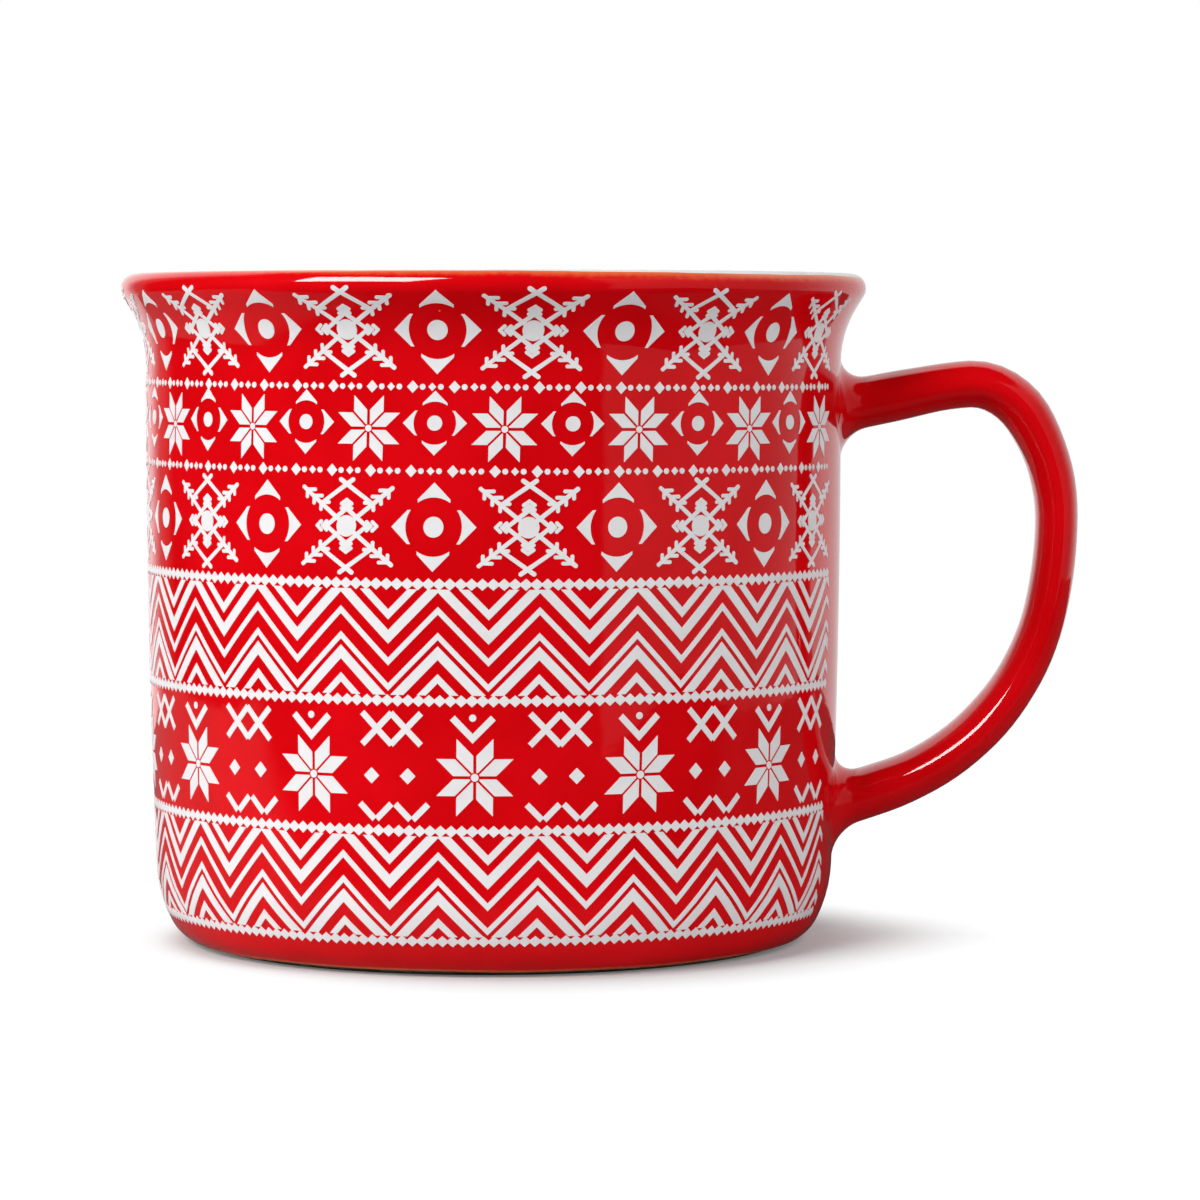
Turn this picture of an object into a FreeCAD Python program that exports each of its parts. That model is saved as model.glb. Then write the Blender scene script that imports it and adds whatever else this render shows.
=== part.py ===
"""Flared stoneware mug, glazed outside and in, with a printed winter pattern round its wall.

Units are millimetres.  The mug stands on Z = 0 with its axis on Z, and the handle points
along +X.  The print faces -Y.  Every fired layer is a solid of its own: the clay, the slip
that sticks the handle on, the glaze coats and the raised enamel of the print.
"""
import FreeCAD, Part

import math
import os

Vector = FreeCAD.Vector
UP = Vector(0, 0, 1)
ORIGIN = Vector(0, 0, 0)

# Driving dimensions -------------------------------------------------------------------------
GLAZE = 0.3               # thickness of every glaze coat
ENAMEL = 0.06             # height of the printed enamel over the glaze
WALL_R = 47.3             # radius that the print's widths are measured at

LIP_R = 48.82             # centre of the rounded lip, seen in section
LIP_Z = 89.0
LIP_ROUND = 2.0
GLAZE_LINE = 55.0         # degrees round the lip where the liner meets the outer glaze
FLARE_LEAN = 122.0        # degrees that the flare's outline has turned, going down

FLARE_LOW = (50.52, 87.94)      # points of the outer outline, radius and height
FLARE_BEND = (49.62, 86.5)
NECK = (47.42, 78.8)
HEEL_TOP = (46.30, 10.5)
HEEL_MID = (44.4, 3.08)
GLAZE_END = (42.19, 0.74)
FOOT_OUT = (39.8, 0.0)
FOOT_IN = (36.2, 0.0)
RECESS_EDGE = (34.6, 1.7)
RECESS_MID = (0.0, 2.1)

LINER_LIP = (47.124, 90.06)     # points of the inner outline
LINER_BEND = (46.23, 88.6)
LINER_NECK = (43.42, 78.8)
LINER_LOW = (42.9, 19.0)
LINER_CORNER = (30.9, 6.9)
LINER_MID = (0.0, 6.5)

HANDLE_HALF_THICK = 3.2         # glazed half sizes of the handle's oval section
HANDLE_HALF_WIDE = 5.8
HANDLE_START = (44.5, 72.2)     # points of the handle's middle line, X and Z
HANDLE_HEADING = 11.3
HANDLE_POINTS = [
    (59.5, 75.2), (65.0, 75.95), (69.0, 75.2), (73.3, 71.4), (76.5, 64.0),
    (77.3, 57.3), (75.9, 45.2), (66.65, 28.5), (54.05, 20.7), (42.5, 17.13),
]
UPPER_JOIN = (47.42, 72.78, 0.20)    # radius, height and slope of the handle where it joins
LOWER_JOIN = (46.62, 18.42, 0.31)
SLIP_REACH = 3.6                # how far a slip fillet runs out along the handle
SLIP_GROW = 2.4                 # how much wider it is than the handle at the wall

PRINT_FROM = -251.2             # the transfer's two ends, in degrees from -Y towards +X
PRINT_TO = 71.5
CHAIN_PITCH = 1.678             # degrees from one small diamond to the next
CHAIN_RUN = 12                  # diamonds in one piece of a chain
ZIGZAG_PITCH = 15.8             # degrees from one trough to the next

ROW_SNOW_HIGH = 82.75           # heights of the rows' middle lines
ROW_DOTS_HIGH = 76.1
ROW_STAR = 70.8
ROW_SMALL_ROUNDEL = 71.5
ROW_DOTS_LOW = 65.4
ROW_SNOW = 58.3
ROW_CHAIN = (51.2, 36.2, 19.5, 4.9)
ROW_ZIGZAG = (43.7, 12.5)
ROW_BIG_STAR = 26.35
ROW_CHEVRON = 32.6
ROW_CHEVRON_DOT = 34.0
ROW_CROSS = 32.5
ROW_DIAMOND = 26.4
ROW_WAVE = 21.8
FLARE_TILT = 18.0               # degrees that the wall leans out behind the top row


# Outlines in section ------------------------------------------------------------------------
class Outline:
    """A smooth run of tangent arcs; each end point and the heading so far fix one arc."""

    def __init__(self, start, heading, ends):
        self.nodes = [(start, heading)]
        self.middles = []
        for end in ends:
            (x, z), turn_from = self.nodes[-1]
            dx, dz = end[0] - x, end[1] - z
            chord = math.degrees(math.atan2(dz, dx))
            half_turn = (chord - turn_from + 180.0) % 360.0 - 180.0
            rise = 0.5 * math.hypot(dx, dz) * math.tan(math.radians(half_turn / 2.0))
            side = math.radians(turn_from + half_turn - 90.0)
            middle = (x + dx / 2 + rise * math.cos(side), z + dz / 2 + rise * math.sin(side))
            self.middles.append((middle, turn_from + half_turn))
            self.nodes.append((end, turn_from + 2.0 * half_turn))

    @staticmethod
    def shifted(node, offset):
        """A point of the outline, moved to the left of its heading."""
        (x, z), heading = node
        left = math.radians(heading + 90.0)
        return Vector(x + offset * math.cos(left), 0, z + offset * math.sin(left))

    def edges(self, offset=0.0):
        """The outline's arcs, moved sideways by an even distance."""
        made = []
        for first, middle, last in zip(self.nodes, self.middles, self.nodes[1:]):
            a, b, c = (self.shifted(node, offset) for node in (first, middle, last))
            straight = (b - a).cross(c - a).Length < 1e-4 * (c - a).Length
            made.append(Part.makeLine(a, c) if straight else Part.Arc(a, b, c).toShape())
        return made

    def end(self, offset=0.0):
        """The outline's last point."""
        return self.shifted(self.nodes[-1], offset)

    def start(self, offset=0.0):
        """The outline's first point."""
        return self.shifted(self.nodes[0], offset)


def at(point):
    """A point of the section plane."""
    return Vector(point[0], 0, point[1])


def straight_run(*points):
    """Straight edges through the points in turn."""
    return [Part.makeLine(a, b) for a, b in zip(points, points[1:])]


def turned(edges, angle=360.0):
    """The solid that a closed section makes when it is turned about the mug's axis."""
    face = Part.Face(Part.Wire(Part.sortEdges(edges)[0]))
    return face.revolve(ORIGIN, UP, angle)


def glaze_line_point():
    """Where the two glazes meet on the lip's outer surface."""
    around = math.radians(GLAZE_LINE)
    return LIP_R + LIP_ROUND * math.cos(around), LIP_Z + LIP_ROUND * math.sin(around)


OUTSIDE = Outline(glaze_line_point(), GLAZE_LINE - 90.0,
                  [FLARE_LOW, FLARE_BEND, NECK, HEEL_TOP, HEEL_MID, GLAZE_END])
INSIDE = Outline(glaze_line_point(), GLAZE_LINE + 90.0,
                 [LINER_LIP, LINER_BEND, LINER_NECK, LINER_LOW, LINER_CORNER])
MIDDLE_LINE = Outline(HANDLE_START, HANDLE_HEADING, HANDLE_POINTS)


# Clay and glaze of the cup ------------------------------------------------------------------
def make_cup_body():
    """The thrown cup: wall, flared lip, floor and foot ring, all under the glaze."""
    floor_mid = Vector(0, 0, LINER_MID[1] - GLAZE)
    recess = [Vector(RECESS_EDGE[0], 0, RECESS_EDGE[1] + GLAZE),
              Vector(0, 0, RECESS_MID[1] + GLAZE)]
    section = OUTSIDE.edges(-GLAZE) + INSIDE.edges(GLAZE)
    section += straight_run(OUTSIDE.end(-GLAZE), at(FOOT_OUT), at(FOOT_IN), *recess)
    section += straight_run(recess[-1], floor_mid, INSIDE.end(GLAZE))
    return turned(section)


def make_wall_glaze():
    """The red coat from the lip down to just above the foot ring."""
    section = OUTSIDE.edges() + OUTSIDE.edges(-GLAZE)
    section += straight_run(OUTSIDE.start(), OUTSIDE.start(-GLAZE))
    section += straight_run(OUTSIDE.end(), OUTSIDE.end(-GLAZE))
    return turned(section)


def make_liner_glaze():
    """The white coat over the lip, down the inside and across the floor."""
    section = INSIDE.edges() + INSIDE.edges(GLAZE)
    section += straight_run(INSIDE.start(), INSIDE.start(GLAZE))
    floor = [at(LINER_MID), at(LINER_MID) - UP * GLAZE]
    section += straight_run(INSIDE.end(), *floor, INSIDE.end(GLAZE))
    return turned(section)


def make_base_glaze():
    """The glaze on the hollow underside, inside the bare foot ring."""
    edge, middle = at(RECESS_EDGE), at(RECESS_MID)
    return turned(straight_run(edge, middle, middle + UP * GLAZE, edge + UP * GLAZE, edge))


# Handle -------------------------------------------------------------------------------------
def oval(centre, half_wide, half_high, normal=Vector(1, 0, 0)):
    """An oval section across the handle, long side along Y."""
    ellipse = Part.Ellipse(ORIGIN, half_wide, half_high)
    wire = Part.Wire(ellipse.toShape())
    wire.rotate(ORIGIN, UP, 90)
    wire.rotate(ORIGIN, Vector(0, 1, 0), math.degrees(math.atan2(normal.x, normal.z)))
    wire.translate(centre)
    return wire


def make_handle_sweep(skin):
    """The handle's oval swept along its middle line; skin is how far it lies under the glaze."""
    path = Part.Wire(MIDDLE_LINE.edges())
    heading = math.radians(HANDLE_HEADING)
    along = Vector(math.cos(heading), 0, math.sin(heading))
    section = oval(MIDDLE_LINE.start(), HANDLE_HALF_WIDE - skin, HANDLE_HALF_THICK - skin, along)
    return path.makePipeShell([section], True, False)


def make_slip_collar(join, skin):
    """The slip round one end of the handle, spreading onto the wall."""
    wall_r, height, slope = join
    sections = []
    for step in (-0.5, 0.0, 0.1, 0.22, 0.4, 0.65, 1.0):
        reach = max(step, 0.0)
        grow = SLIP_GROW * (1.0 - reach) ** 3
        out = step * SLIP_REACH
        centre = Vector(wall_r + out, 0, height + slope * out)
        sections.append(oval(centre, HANDLE_HALF_WIDE - skin + grow,
                             HANDLE_HALF_THICK - skin + grow))
    return Part.makeLoft(sections, True, True)


def make_cup_filled(skin):
    """The cup as if it were full, to trim what is stuck onto its wall."""
    section = OUTSIDE.edges(-skin)
    top, bottom = OUTSIDE.start(-skin), OUTSIDE.end(-skin)
    section += straight_run(top, Vector(0, 0, top.z), Vector(0, 0, bottom.z), bottom)
    return turned(section)


def largest(shape):
    """The biggest solid of a shape, without the slivers that a cut leaves."""
    return max(shape.Solids, key=lambda solid: solid.Volume)


def make_handle_parts():
    """The clay handle, its two slip joints and the glaze over all three."""
    clay_cup = make_cup_filled(GLAZE)
    core = largest(make_handle_sweep(GLAZE).cut(clay_cup))
    joints = [largest(make_slip_collar(join, GLAZE).cut(clay_cup).cut(core))
              for join in (UPPER_JOIN, LOWER_JOIN)]
    outer = make_handle_sweep(0.0)
    for join in (UPPER_JOIN, LOWER_JOIN):
        outer = outer.fuse(make_slip_collar(join, 0.0))
    outer = outer.cut(clay_cup)
    glaze = outer.cut(core)
    for joint in joints:
        glaze = glaze.cut(joint)
    return core, joints, glaze, outer


# Flat outlines of the print, on the plane Y = 0 ----------------------------------------------
def patch(points):
    """A flat piece with straight sides."""
    corners = [at(point) for point in points]
    return Part.Face(Part.Wire(Part.makePolygon(corners + corners[:1])))


def disc(centre, radius):
    """A round dot."""
    circle = Part.makeCircle(radius, at(centre), Vector(0, 1, 0))
    return Part.Face(Part.Wire(circle))


def stroke(first, last, width, rounded=False):
    """A straight stroke, with square or round ends."""
    a, b = at(first), at(last)
    along = (b - a).normalize()
    side = Vector(-along.z, 0, along.x) * (width / 2)
    if not rounded:
        return patch([(p.x, p.z) for p in (a + side, b + side, b - side, a - side)])
    edges = [
        Part.makeLine(a + side, b + side),
        Part.Arc(b + side, b + along * (width / 2), b - side).toShape(),
        Part.makeLine(b - side, a - side),
        Part.Arc(a - side, a - along * (width / 2), a + side).toShape(),
    ]
    return Part.Face(Part.Wire(edges))


def joined(faces):
    """Overlapping flat pieces made one."""
    if len(faces) == 1:
        return faces[0]
    return faces[0].multiFuse(faces[1:]).removeSplitter()


def mirrored_four(first, last):
    """The same stroke in all four quarters."""
    pairs = []
    for sx in (1, -1):
        for sz in (1, -1):
            pairs.append(((first[0] * sx, first[1] * sz), (last[0] * sx, last[1] * sz)))
    return pairs


def snowflake():
    """Crossed feathered arms over a lattice, with a dot in the middle."""
    pieces = [disc((0, 0), 1.38)]
    broad, fine = 0.6, 0.5
    for sign in (1, -1):
        pieces.append(stroke((-6.2, -4.9 * sign), (6.2, 4.9 * sign), broad, True))
    lattice = [((2.8, 0), (0, 2.25)), ((3.4, 3.0), (-0.85, 5.95))]
    for step in range(3):
        x, z = 5.73 - 1.02 * step, 4.6 - 0.8 * step
        lattice += [((x, z), (x - 1.17, z)), ((x, z), (x, z - 0.92))]
    for first, last in lattice:
        for a, b in mirrored_four(first, last):
            pieces.append(stroke(a, b, fine if abs(last[0]) > 1 else broad, True))
    for apex in (3.35, 2.75):
        for a, b in mirrored_four((0, apex), (0.7, apex - 0.5)):
            pieces.append(stroke(a, b, broad, True))
    for apex in (4.18, 3.4):
        for a, b in mirrored_four((apex, 0), (apex - 0.58, 0.55)):
            pieces.append(stroke(a, b, broad, True))
    return joined(pieces)


def roundel(scale=1.0):
    """A dot ringed by four hollow-backed arrowheads."""
    hollow = disc((0, 0), 3.65 * scale)
    heads = [disc((0, 0), 1.29 * scale)]
    for quarter in range(4):
        tip, reach = 5.5 * scale, 2.1 * scale
        head = patch([(0, tip), (reach, tip - reach), (reach, 3.0 * scale),
                      (-reach, 3.0 * scale), (-reach, tip - reach)]).cut(hollow)
        head.rotate(ORIGIN, Vector(0, 1, 0), 90 * quarter)
        heads.append(head)
    return Part.makeCompound(heads)


def star(scale=1.0):
    """Eight slanted petals with thin gaps between them, and a dot in the middle."""
    gap, heart = 0.13, 0.58 * scale
    petal = [(gap, 2 * gap), (gap, 2.35 * scale), (2.0 * scale, 4.2 * scale),
             (2.0 * scale, 2.0 * scale + gap)]
    clear = disc((0, 0), heart)
    pieces = [disc((0, 0), 0.43 * scale)]
    for quarter in range(4):
        for flip in (False, True):
            corners = [(z, x) if flip else (x, z) for x, z in petal]
            piece = patch(corners).cut(clear)
            piece.rotate(ORIGIN, Vector(0, 1, 0), 90 * quarter)
            pieces.append(piece)
    return Part.makeCompound(pieces)


def diamond(half_wide, half_high, centre=(0.0, 0.0)):
    """A square set on its corner."""
    x, z = centre
    return patch([(x - half_wide, z), (x, z + half_high), (x + half_wide, z), (x, z - half_high)])


def dotted_line():
    """One repeat of the dotted line: a diamond, a dot, a lesser diamond and a dot."""
    pieces = [diamond(0.75, 0.8), diamond(0.51, 0.53, (2.52, 0))]
    pieces += [disc((x, 0), 0.375) for x in (1.28, 3.62)]
    return Part.makeCompound(pieces)


def chevron():
    """A wide V."""
    return joined([stroke((0, -1.3), (2.63 * side, 1.36), 0.87) for side in (1, -1)]
                  + [diamond(0.6, 0.6, (0, -1.3))])


def double_cross():
    """Two crosses side by side, whose arms meet in a diamond."""
    strokes = []
    for side in (1, -1):
        for slope in (1, -1):
            x = 1.95 * side
            strokes.append(stroke((x - 2.0, -2.05 * slope), (x + 2.0, 2.05 * slope), 0.8))
    return joined(strokes)


def two_diamonds():
    """A pair of plain diamonds."""
    return Part.makeCompound([diamond(1.05, 1.05, (2.45 * side, 0)) for side in (1, -1)])


def wave():
    """A broad W of four square-ended strokes."""
    centres = (-3.6, -1.3, 1.25, 3.6)
    strokes = []
    for index, x in enumerate(centres):
        slope = 1.0 if index % 2 else -1.0
        strokes.append(stroke((x - 1.0, -1.0 * slope), (x + 1.0, 1.0 * slope), 0.8))
    return joined(strokes)


def chain_piece():
    """A run of touching diamonds; the run is bent back so that it wraps to an even pitch."""
    tip, neck = 0.77, 0.17
    upper = []
    for index in range(CHAIN_RUN + 1):
        angle = math.radians(CHAIN_PITCH * (index - CHAIN_RUN / 2))
        upper.append((WALL_R * math.sin(angle), neck))
        if index < CHAIN_RUN:
            angle = math.radians(CHAIN_PITCH * (index + 0.5 - CHAIN_RUN / 2))
            upper.append((WALL_R * math.sin(angle), tip))
    lower = [(x, -z) for x, z in reversed(upper)]
    return patch(upper + lower)


def zigzag_piece():
    """One repeat of the nested zigzag, from trough to trough, cut level at top and bottom."""
    half = WALL_R * math.radians(ZIGZAG_PITCH / 2)
    rise = 6.6
    ceiling, floor = 6.72, -6.8
    frame = patch([(-half, floor), (half, floor), (half, ceiling), (-half, ceiling)])
    strokes = [(4.1, 1.3), (1.45, 1.75), (-2.1, 1.0), (-5.4, 0.95), (-7.15, 1.75), (-10.7, 1.2)]
    pieces = []
    for top, thick in strokes:
        band = patch([(-half, top), (0, top + rise), (half, top),
                      (half, top - thick), (0, top + rise - thick), (-half, top - thick)])
        pieces.append(band.common(frame))
    return Part.makeCompound(pieces)


# Printing the outlines onto the wall ---------------------------------------------------------
def make_enamel_shell():
    """A thin sector of wall, as thick as the enamel, that the outlines are cut from."""
    section = OUTSIDE.edges() + OUTSIDE.edges(ENAMEL)
    section += straight_run(OUTSIDE.start(), OUTSIDE.start(ENAMEL))
    section += straight_run(OUTSIDE.end(), OUTSIDE.end(ENAMEL))
    shell = turned(section, 24.0)
    shell.rotate(ORIGIN, UP, -90 - 12.0)
    return shell


def printed(shell, outline, height, tilt=0.0):
    """One motif as thin solids on the wall that faces -Y."""
    block = outline.copy()
    block.translate(Vector(0, 8, 0))
    block = block.extrude(Vector(0, -16, 0))
    block.rotate(ORIGIN, Vector(1, 0, 0), tilt)
    block.translate(Vector(0, -(WALL_R + tilt / 12.0), height))
    return block.common(shell)


def angles(first, pitch, half_width):
    """Every place round the wall where a motif of this half width fits on the transfer."""
    low = math.ceil((PRINT_FROM + half_width - first) / pitch)
    high = math.floor((PRINT_TO - half_width - first) / pitch)
    return [first + pitch * index for index in range(low, high + 1)]


def around(motif, places):
    """The motif's solids, repeated round the mug's axis."""
    copies = []
    for place in places:
        for solid in motif.Solids:
            copy = solid.copy()
            copy.rotate(ORIGIN, UP, place)
            copies.append(copy)
    return Part.makeCompound(copies)


def make_print():
    """Every row of the print, each kind of motif as one node."""
    shell = make_enamel_shell()
    flake, ring, petals = snowflake(), roundel(), star()
    chain = chain_piece()
    zigzag = zigzag_piece()
    rows = {
        "print_upper_snowflakes": (flake, ROW_SNOW_HIGH, FLARE_TILT, 5.9, 28.82, 7.8),
        "print_upper_roundels": (ring, ROW_SNOW_HIGH, FLARE_TILT, -8.5, 28.82, 6.6),
        "print_upper_dots": (dotted_line(), ROW_DOTS_HIGH, 0, 0.45, 6.511, 4.0),
        "print_stars": (petals, ROW_STAR, 0, 1.62, 21.37, 5.0),
        "print_small_roundels": (roundel(0.75), ROW_SMALL_ROUNDEL, 0, -9.16, 21.37, 5.0),
        "print_lower_dots": (dotted_line(), ROW_DOTS_LOW, 0, 0.14, 6.511, 4.0),
        "print_snowflakes": (flake, ROW_SNOW, 0, 5.3, 28.82, 7.8),
        "print_roundels": (ring, ROW_SNOW, 0, -9.4, 28.82, 6.6),
        "print_zigzag_upper": (zigzag, ROW_ZIGZAG[0], 0, 14.9, ZIGZAG_PITCH, 7.9),
        "print_zigzag_lower": (zigzag, ROW_ZIGZAG[1], 0, 14.7, ZIGZAG_PITCH, 7.9),
        "print_big_stars": (star(1.19), ROW_BIG_STAR, 0, -3.11, 26.69, 6.0),
        "print_chevrons": (chevron(), ROW_CHEVRON, 0, -3.4, 26.69, 3.6),
        "print_chevron_dots": (disc((0, 0), 0.47), ROW_CHEVRON_DOT, 0, -3.4, 26.69, 3.6),
        "print_double_crosses": (double_cross(), ROW_CROSS, 0, 10.35, 26.69, 5.2),
        "print_diamonds": (two_diamonds(), ROW_DIAMOND, 0, 9.98, 26.69, 4.3),
        "print_waves": (wave(), ROW_WAVE, 0, 10.6, 26.69, 5.9),
    }
    run = CHAIN_RUN * CHAIN_PITCH
    for index, height in enumerate(ROW_CHAIN):
        rows[f"print_chain_{index + 1}"] = (chain, height, 0, 7.4 + run / 2, run, run / 2)
    nodes = {}
    for name, (outline, height, tilt, first, pitch, half_width) in rows.items():
        motif = printed(shell, outline, height, tilt)
        nodes[name] = around(motif, angles(first, pitch, half_width))
    return nodes


# Build and write -----------------------------------------------------------------------------
def main():
    """Make every node and write one STEP file for each."""
    core, joints, handle_glaze, handle_all = make_handle_parts()
    nodes = {
        "cup_body": make_cup_body(),
        "handle": core,
        "upper_slip_joint": joints[0],
        "lower_slip_joint": joints[1],
        "liner_glaze": make_liner_glaze(),
        "wall_glaze": make_wall_glaze().cut(handle_all),
        "handle_glaze": handle_glaze,
        "base_glaze": make_base_glaze(),
    }
    nodes.update(make_print())
    os.makedirs("parts", exist_ok=True)
    for name, shape in nodes.items():
        shape.exportStep(f"parts/{name}.step")
        print(f"{name:26s} solids {len(shape.Solids):4d}  volume {shape.Volume:10.2f}"
              f"  valid {shape.isValid()}")


main()
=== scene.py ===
"""Looks for a flared red mug with a white knit-style winter print.

Shapes are worked out in millimetres round the mug's axis and are turned into metres when a
piece is made.  Angles round the mug start at -Y, where the print faces, and grow towards +X,
where the handle points.
"""

import bisect
import logging
import math
from collections.abc import Callable
from dataclasses import dataclass, field
from enum import Enum

import bmesh
import bpy
from mathutils import Matrix, Vector
from mathutils.geometry import delaunay_2d_cdt

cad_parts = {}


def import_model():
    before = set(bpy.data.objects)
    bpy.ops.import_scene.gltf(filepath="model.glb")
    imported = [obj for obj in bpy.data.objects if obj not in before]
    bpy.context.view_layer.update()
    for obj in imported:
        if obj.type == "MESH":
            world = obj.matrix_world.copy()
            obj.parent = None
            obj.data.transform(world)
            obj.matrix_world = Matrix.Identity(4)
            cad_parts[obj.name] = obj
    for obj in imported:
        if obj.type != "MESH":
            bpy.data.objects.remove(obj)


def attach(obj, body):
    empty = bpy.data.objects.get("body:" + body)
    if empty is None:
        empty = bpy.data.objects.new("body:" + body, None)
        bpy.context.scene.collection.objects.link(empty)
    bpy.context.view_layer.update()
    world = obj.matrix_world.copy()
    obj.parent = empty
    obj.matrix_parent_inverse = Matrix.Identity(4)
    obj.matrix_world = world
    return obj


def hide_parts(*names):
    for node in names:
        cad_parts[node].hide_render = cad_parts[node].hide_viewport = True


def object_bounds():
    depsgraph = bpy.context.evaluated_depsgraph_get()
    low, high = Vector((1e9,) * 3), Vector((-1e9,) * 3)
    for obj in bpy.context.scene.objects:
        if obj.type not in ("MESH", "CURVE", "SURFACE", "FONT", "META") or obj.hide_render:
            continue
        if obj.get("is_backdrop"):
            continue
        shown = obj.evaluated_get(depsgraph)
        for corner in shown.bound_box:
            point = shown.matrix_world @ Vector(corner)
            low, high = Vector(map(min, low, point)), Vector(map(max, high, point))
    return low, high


LOG = logging.getLogger("mug")
MM = 0.001
BODY = "root"
STATION_TURN = math.radians(6)  # the largest change of heading between two stations
CREASE = math.radians(35)       # an edge that turns by more than this stays sharp
Point = tuple[float, float]
Colour = tuple[float, float, float, float]
Ring = tuple[float, float | None, float]    # distance along, distance from the wall, growth


class Slot(Enum):
    """The record's finishes."""

    CLAY = "stoneware"
    RED = "red_glaze"
    LINER = "white_glaze"
    ENAMEL = "white_enamel"


# Outlines in section ------------------------------------------------------------------------
@dataclass(frozen=True)
class Station:
    """A place on an outline: radius, height and heading in radians."""

    x: float
    z: float
    heading: float

    def beside(self, offset: float) -> Point:
        """The point this far to the left of the heading."""
        left = self.heading + math.pi / 2
        return self.x + offset * math.cos(left), self.z + offset * math.sin(left)


@dataclass(frozen=True)
class Arc:
    """One arc of an outline.

    Args:
        start: where it starts, with the heading there.
        turn: how far the heading turns along it, in radians.
        length: its length.
    """

    start: Station
    turn: float
    length: float

    def at(self, along: float) -> Station:
        """The station this far along the arc."""
        heading = self.start.heading + self.turn * along / self.length
        if abs(self.turn) < 1e-7:
            return Station(self.start.x + along * math.cos(heading),
                           self.start.z + along * math.sin(heading), heading)
        radius = self.length / self.turn
        return Station(
            self.start.x + radius * (math.sin(heading) - math.sin(self.start.heading)),
            self.start.z - radius * (math.cos(heading) - math.cos(self.start.heading)),
            heading)

    def clearance(self, x: float, z: float) -> float:
        """How far a point lies to the left of the arc."""
        radius = self.length / self.turn
        middle_x, middle_z = self.start.beside(radius)
        reach = math.hypot(x - middle_x, z - middle_z)
        return math.copysign(1.0, radius) * (abs(radius) - reach)


class Outline:
    """A smooth run of tangent arcs; each end point and the heading so far fix one arc."""

    def __init__(self, start: Point, heading: float, ends: list[Point]) -> None:
        """Lays the arcs end to end.

        Args:
            start: the first point.
            heading: the direction at the start, in degrees.
            ends: where each arc ends.
        """
        self.arcs: list[Arc] = []
        self.ends: list[float] = []
        station = Station(*start, math.radians(heading))
        total = 0.0
        for x, z in ends:
            across, up = x - station.x, z - station.z
            chord = math.atan2(up, across) - station.heading
            half_turn = (chord + math.pi) % (2 * math.pi) - math.pi
            length = math.hypot(across, up)
            if abs(half_turn) > 1e-7:
                length *= half_turn / math.sin(half_turn)
            self.arcs.append(Arc(station, 2 * half_turn, length))
            station = self.arcs[-1].at(length)
            total += length
            self.ends.append(total)
        self.length = total

    def at(self, along: float) -> Station:
        """The station this far along the outline, held inside its two ends."""
        along = min(max(along, 0.0), self.length)
        index = min(bisect.bisect_left(self.ends, along), len(self.arcs) - 1)
        before = self.ends[index] - self.arcs[index].length
        return self.arcs[index].at(along - before)

    def walk(self, step: float) -> list[Station]:
        """Stations close enough together for the shape.

        Args:
            step: the longest distance between two stations.

        Returns:
            The stations, both ends included.
        """
        found = [self.arcs[0].start]
        for arc in self.arcs:
            count = max(math.ceil(arc.length / step), math.ceil(abs(arc.turn) / STATION_TURN), 1)
            found += [arc.at(arc.length * index / count) for index in range(1, count + 1)]
        return found

    def along_at_height(self, height: float) -> float:
        """How far along a falling outline it comes down to this height."""
        low, high = 0.0, self.length
        while high - low > 1e-5:
            middle = (low + high) / 2
            low, high = (middle, high) if self.at(middle).z > height else (low, middle)
        return low


LIP = (48.82, 89.0)             # centre of the rounded lip, seen in section
LIP_ROUND = 2.0
GLAZE_LINE = 55.0               # degrees round the lip where the two glazes meet
WALL_ARC = 3                    # which arc of the outline the tall wall is


def lip_point() -> Point:
    """Where the two glazes meet in the section."""
    turn = math.radians(GLAZE_LINE)
    return LIP[0] + LIP_ROUND * math.cos(turn), LIP[1] + LIP_ROUND * math.sin(turn)


OUTSIDE = Outline(lip_point(), GLAZE_LINE - 90.0, [
    (50.52, 87.94), (49.62, 86.5), (47.42, 78.8), (46.30, 10.5), (44.4, 3.08), (42.19, 0.74)])
INSIDE = Outline(lip_point(), GLAZE_LINE + 90.0, [
    (47.124, 90.06), (46.23, 88.6), (43.42, 78.8), (42.9, 19.0), (30.9, 6.9)])
MIDDLE_LINE = Outline((44.5, 72.2), 11.3, [
    (59.5, 75.2), (65.0, 75.95), (69.0, 75.2), (73.3, 71.4), (76.5, 64.0), (77.3, 57.3),
    (75.9, 45.2), (66.65, 28.5), (54.05, 20.7), (42.5, 17.13)])
WALL = OUTSIDE.arcs[WALL_ARC]


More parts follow.
